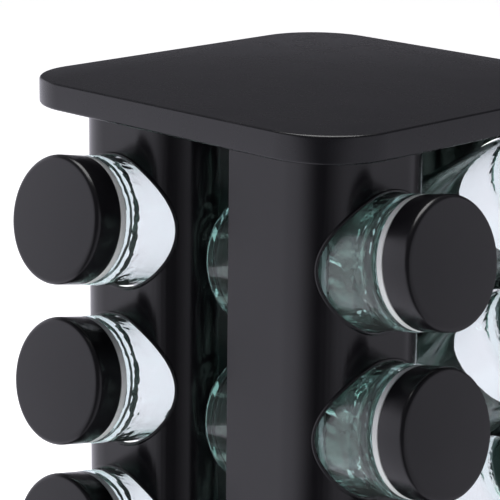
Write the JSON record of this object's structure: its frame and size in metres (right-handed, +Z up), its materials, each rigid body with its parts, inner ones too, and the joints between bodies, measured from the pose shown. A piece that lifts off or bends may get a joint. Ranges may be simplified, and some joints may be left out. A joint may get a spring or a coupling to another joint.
{
  "type": "spice carousel",
  "caption": "Revolving spice carousel: a square tower of bent metal channels on a round ball-bearing foot, with tilted glass jars pushed through round holes and closed by flat caps.",
  "frame": {"origin": "centre of the object's footprint on the worktop, under the spin axis", "axes": "+Z up along the spin axis; +X and -Y are the two faces towards the viewer, and each face carries one column of jars"},
  "size_m": [0.2186, 0.2186, 0.3158],
  "materials": {
    "satin_black": "satin black, slightly glossy",
    "column_black": "satin black paint on bent sheet",
    "cap_black": "fine satin black moulding",
    "sifter_grey": "smooth pale grey moulding",
    "jar_glass": "clear glass with a faint green edge",
    "bearing_steel": "plain pressed steel",
    "cage_brass": "plain ball cage",
    "foot_rubber": "matt anti-slip rubber"
  },
  "bodies": {
    "foot": {"foot_disc": "satin_black", "foot_pad": "foot_rubber", "race_lower": "bearing_steel"},
    "bearing_cage": {"ball_cage": "cage_brass"},
    "tower": {"race_upper": "bearing_steel", "base_plate": "satin_black", "column_a": "column_black", "column_b": "column_black", "column_c": "column_black", "column_d": "column_black", "lid": "satin_black", "tie_rod": "bearing_steel"},
    "jar_set_a1": {"jar_a1": "jar_glass"},
    "sifter_set_a1": {"sifter_a1": "sifter_grey"},
    "cap_set_a1": {"cap_a1": "cap_black"},
    "jar_set_a2": {"jar_a2": "jar_glass"},
    "sifter_set_a2": {"sifter_a2": "sifter_grey"},
    "cap_set_a2": {"cap_a2": "cap_black"},
    "jar_set_a3": {"jar_a3": "jar_glass"},
    "sifter_set_a3": {"sifter_a3": "sifter_grey"},
    "cap_set_a3": {"cap_a3": "cap_black"},
    "jar_set_a4": {"jar_a4": "jar_glass"},
    "sifter_set_a4": {"sifter_a4": "sifter_grey"},
    "cap_set_a4": {"cap_a4": "cap_black"},
    "jar_set_b1": {"jar_b1": "jar_glass"},
    "sifter_set_b1": {"sifter_b1": "sifter_grey"},
    "cap_set_b1": {"cap_b1": "cap_black"},
    "jar_set_b2": {"jar_b2": "jar_glass"},
    "sifter_set_b2": {"sifter_b2": "sifter_grey"},
    "cap_set_b2": {"cap_b2": "cap_black"},
    "jar_set_b3": {"jar_b3": "jar_glass"},
    "sifter_set_b3": {"sifter_b3": "sifter_grey"},
    "cap_set_b3": {"cap_b3": "cap_black"},
    "jar_set_b4": {"jar_b4": "jar_glass"},
    "sifter_set_b4": {"sifter_b4": "sifter_grey"},
    "cap_set_b4": {"cap_b4": "cap_black"},
    "jar_set_c1": {"jar_c1": "jar_glass"},
    "sifter_set_c1": {"sifter_c1": "sifter_grey"},
    "cap_set_c1": {"cap_c1": "cap_black"},
    "jar_set_c2": {"jar_c2": "jar_glass"},
    "sifter_set_c2": {"sifter_c2": "sifter_grey"},
    "cap_set_c2": {"cap_c2": "cap_black"},
    "jar_set_c3": {"jar_c3": "jar_glass"},
    "sifter_set_c3": {"sifter_c3": "sifter_grey"},
    "cap_set_c3": {"cap_c3": "cap_black"},
    "jar_set_c4": {"jar_c4": "jar_glass"},
    "sifter_set_c4": {"sifter_c4": "sifter_grey"},
    "cap_set_c4": {"cap_c4": "cap_black"},
    "jar_set_d1": {"jar_d1": "jar_glass"},
    "sifter_set_d1": {"sifter_d1": "sifter_grey"},
    "cap_set_d1": {"cap_d1": "cap_black"},
    "jar_set_d2": {"jar_d2": "jar_glass"},
    "sifter_set_d2": {"sifter_d2": "sifter_grey"},
    "cap_set_d2": {"cap_d2": "cap_black"},
    "jar_set_d3": {"jar_d3": "jar_glass"},
    "sifter_set_d3": {"sifter_d3": "sifter_grey"},
    "cap_set_d3": {"cap_d3": "cap_black"},
    "jar_set_d4": {"jar_d4": "jar_glass"},
    "sifter_set_d4": {"sifter_d4": "sifter_grey"},
    "cap_set_d4": {"cap_d4": "cap_black"}
  },
  "joints": [
    {"name": "tower_spin", "type": "hinge", "parent": "foot", "child": "tower", "pos_m": [0, 0, 0.0104], "axis": [0, 0, 1], "continuous": true},
    {"name": "cage_spin", "type": "hinge", "parent": "foot", "child": "bearing_cage", "pos_m": [0, 0, 0.0104], "axis": [0, 0, 1], "continuous": true},
    {"name": "jar_slide_a1", "type": "slide", "parent": "tower", "child": "jar_set_a1", "axis": [0.9829, 0, 0.184], "range_m": [0, 0.1]},
    {"name": "sifter_off_a1", "type": "slide", "parent": "jar_set_a1", "child": "sifter_set_a1", "axis": [0.9829, 0, 0.184], "range_m": [0, 0.04]},
    {"name": "cap_off_a1", "type": "slide", "parent": "sifter_set_a1", "child": "cap_set_a1", "axis": [0.9829, 0, 0.184], "range_m": [0, 0.03]},
    {"name": "jar_slide_a2", "type": "slide", "parent": "tower", "child": "jar_set_a2", "axis": [0.9829, 0, 0.184], "range_m": [0, 0.1]},
    {"name": "sifter_off_a2", "type": "slide", "parent": "jar_set_a2", "child": "sifter_set_a2", "axis": [0.9829, 0, 0.184], "range_m": [0, 0.04]},
    {"name": "cap_off_a2", "type": "slide", "parent": "sifter_set_a2", "child": "cap_set_a2", "axis": [0.9829, 0, 0.184], "range_m": [0, 0.03]},
    {"name": "jar_slide_a3", "type": "slide", "parent": "tower", "child": "jar_set_a3", "axis": [0.9829, 0, 0.184], "range_m": [0, 0.1]},
    {"name": "sifter_off_a3", "type": "slide", "parent": "jar_set_a3", "child": "sifter_set_a3", "axis": [0.9829, 0, 0.184], "range_m": [0, 0.04]},
    {"name": "cap_off_a3", "type": "slide", "parent": "sifter_set_a3", "child": "cap_set_a3", "axis": [0.9829, 0, 0.184], "range_m": [0, 0.03]},
    {"name": "jar_slide_a4", "type": "slide", "parent": "tower", "child": "jar_set_a4", "axis": [0.9829, 0, 0.184], "range_m": [0, 0.1]},
    {"name": "sifter_off_a4", "type": "slide", "parent": "jar_set_a4", "child": "sifter_set_a4", "axis": [0.9829, 0, 0.184], "range_m": [0, 0.04]},
    {"name": "cap_off_a4", "type": "slide", "parent": "sifter_set_a4", "child": "cap_set_a4", "axis": [0.9829, 0, 0.184], "range_m": [0, 0.03]},
    {"name": "jar_slide_b1", "type": "slide", "parent": "tower", "child": "jar_set_b1", "axis": [0, 0.9829, 0.184], "range_m": [0, 0.1]},
    {"name": "sifter_off_b1", "type": "slide", "parent": "jar_set_b1", "child": "sifter_set_b1", "axis": [0, 0.9829, 0.184], "range_m": [0, 0.04]},
    {"name": "cap_off_b1", "type": "slide", "parent": "sifter_set_b1", "child": "cap_set_b1", "axis": [0, 0.9829, 0.184], "range_m": [0, 0.03]},
    {"name": "jar_slide_b2", "type": "slide", "parent": "tower", "child": "jar_set_b2", "axis": [0, 0.9829, 0.184], "range_m": [0, 0.1]},
    {"name": "sifter_off_b2", "type": "slide", "parent": "jar_set_b2", "child": "sifter_set_b2", "axis": [0, 0.9829, 0.184], "range_m": [0, 0.04]},
    {"name": "cap_off_b2", "type": "slide", "parent": "sifter_set_b2", "child": "cap_set_b2", "axis": [0, 0.9829, 0.184], "range_m": [0, 0.03]},
    {"name": "jar_slide_b3", "type": "slide", "parent": "tower", "child": "jar_set_b3", "axis": [0, 0.9829, 0.184], "range_m": [0, 0.1]},
    {"name": "sifter_off_b3", "type": "slide", "parent": "jar_set_b3", "child": "sifter_set_b3", "axis": [0, 0.9829, 0.184], "range_m": [0, 0.04]},
    {"name": "cap_off_b3", "type": "slide", "parent": "sifter_set_b3", "child": "cap_set_b3", "axis": [0, 0.9829, 0.184], "range_m": [0, 0.03]},
    {"name": "jar_slide_b4", "type": "slide", "parent": "tower", "child": "jar_set_b4", "axis": [0, 0.9829, 0.184], "range_m": [0, 0.1]},
    {"name": "sifter_off_b4", "type": "slide", "parent": "jar_set_b4", "child": "sifter_set_b4", "axis": [0, 0.9829, 0.184], "range_m": [0, 0.04]},
    {"name": "cap_off_b4", "type": "slide", "parent": "sifter_set_b4", "child": "cap_set_b4", "axis": [0, 0.9829, 0.184], "range_m": [0, 0.03]},
    {"name": "jar_slide_c1", "type": "slide", "parent": "tower", "child": "jar_set_c1", "axis": [-0.9829, 0, 0.184], "range_m": [0, 0.1]},
    {"name": "sifter_off_c1", "type": "slide", "parent": "jar_set_c1", "child": "sifter_set_c1", "axis": [-0.9829, 0, 0.184], "range_m": [0, 0.04]},
    {"name": "cap_off_c1", "type": "slide", "parent": "sifter_set_c1", "child": "cap_set_c1", "axis": [-0.9829, 0, 0.184], "range_m": [0, 0.03]},
    {"name": "jar_slide_c2", "type": "slide", "parent": "tower", "child": "jar_set_c2", "axis": [-0.9829, 0, 0.184], "range_m": [0, 0.1]},
    {"name": "sifter_off_c2", "type": "slide", "parent": "jar_set_c2", "child": "sifter_set_c2", "axis": [-0.9829, 0, 0.184], "range_m": [0, 0.04]},
    {"name": "cap_off_c2", "type": "slide", "parent": "sifter_set_c2", "child": "cap_set_c2", "axis": [-0.9829, 0, 0.184], "range_m": [0, 0.03]},
    {"name": "jar_slide_c3", "type": "slide", "parent": "tower", "child": "jar_set_c3", "axis": [-0.9829, 0, 0.184], "range_m": [0, 0.1]},
    {"name": "sifter_off_c3", "type": "slide", "parent": "jar_set_c3", "child": "sifter_set_c3", "axis": [-0.9829, 0, 0.184], "range_m": [0, 0.04]},
    {"name": "cap_off_c3", "type": "slide", "parent": "sifter_set_c3", "child": "cap_set_c3", "axis": [-0.9829, 0, 0.184], "range_m": [0, 0.03]},
    {"name": "jar_slide_c4", "type": "slide", "parent": "tower", "child": "jar_set_c4", "axis": [-0.9829, 0, 0.184], "range_m": [0, 0.1]},
    {"name": "sifter_off_c4", "type": "slide", "parent": "jar_set_c4", "child": "sifter_set_c4", "axis": [-0.9829, 0, 0.184], "range_m": [0, 0.04]},
    {"name": "cap_off_c4", "type": "slide", "parent": "sifter_set_c4", "child": "cap_set_c4", "axis": [-0.9829, 0, 0.184], "range_m": [0, 0.03]},
    {"name": "jar_slide_d1", "type": "slide", "parent": "tower", "child": "jar_set_d1", "axis": [0, -0.9829, 0.184], "range_m": [0, 0.1]},
    {"name": "sifter_off_d1", "type": "slide", "parent": "jar_set_d1", "child": "sifter_set_d1", "axis": [0, -0.9829, 0.184], "range_m": [0, 0.04]},
    {"name": "cap_off_d1", "type": "slide", "parent": "sifter_set_d1", "child": "cap_set_d1", "axis": [0, -0.9829, 0.184], "range_m": [0, 0.03]},
    {"name": "jar_slide_d2", "type": "slide", "parent": "tower", "child": "jar_set_d2", "axis": [0, -0.9829, 0.184], "range_m": [0, 0.1]},
    {"name": "sifter_off_d2", "type": "slide", "parent": "jar_set_d2", "child": "sifter_set_d2", "axis": [0, -0.9829, 0.184], "range_m": [0, 0.04]},
    {"name": "cap_off_d2", "type": "slide", "parent": "sifter_set_d2", "child": "cap_set_d2", "axis": [0, -0.9829, 0.184], "range_m": [0, 0.03]},
    {"name": "jar_slide_d3", "type": "slide", "parent": "tower", "child": "jar_set_d3", "axis": [0, -0.9829, 0.184], "range_m": [0, 0.1]},
    {"name": "sifter_off_d3", "type": "slide", "parent": "jar_set_d3", "child": "sifter_set_d3", "axis": [0, -0.9829, 0.184], "range_m": [0, 0.04]},
    {"name": "cap_off_d3", "type": "slide", "parent": "sifter_set_d3", "child": "cap_set_d3", "axis": [0, -0.9829, 0.184], "range_m": [0, 0.03]},
    {"name": "jar_slide_d4", "type": "slide", "parent": "tower", "child": "jar_set_d4", "axis": [0, -0.9829, 0.184], "range_m": [0, 0.1]},
    {"name": "sifter_off_d4", "type": "slide", "parent": "jar_set_d4", "child": "sifter_set_d4", "axis": [0, -0.9829, 0.184], "range_m": [0, 0.04]},
    {"name": "cap_off_d4", "type": "slide", "parent": "sifter_set_d4", "child": "cap_set_d4", "axis": [0, -0.9829, 0.184], "range_m": [0, 0.03]}
  ],
  "couplings": [
    {"joint": "cage_spin", "follows": "tower_spin", "ratio": 0.5}
  ]
}
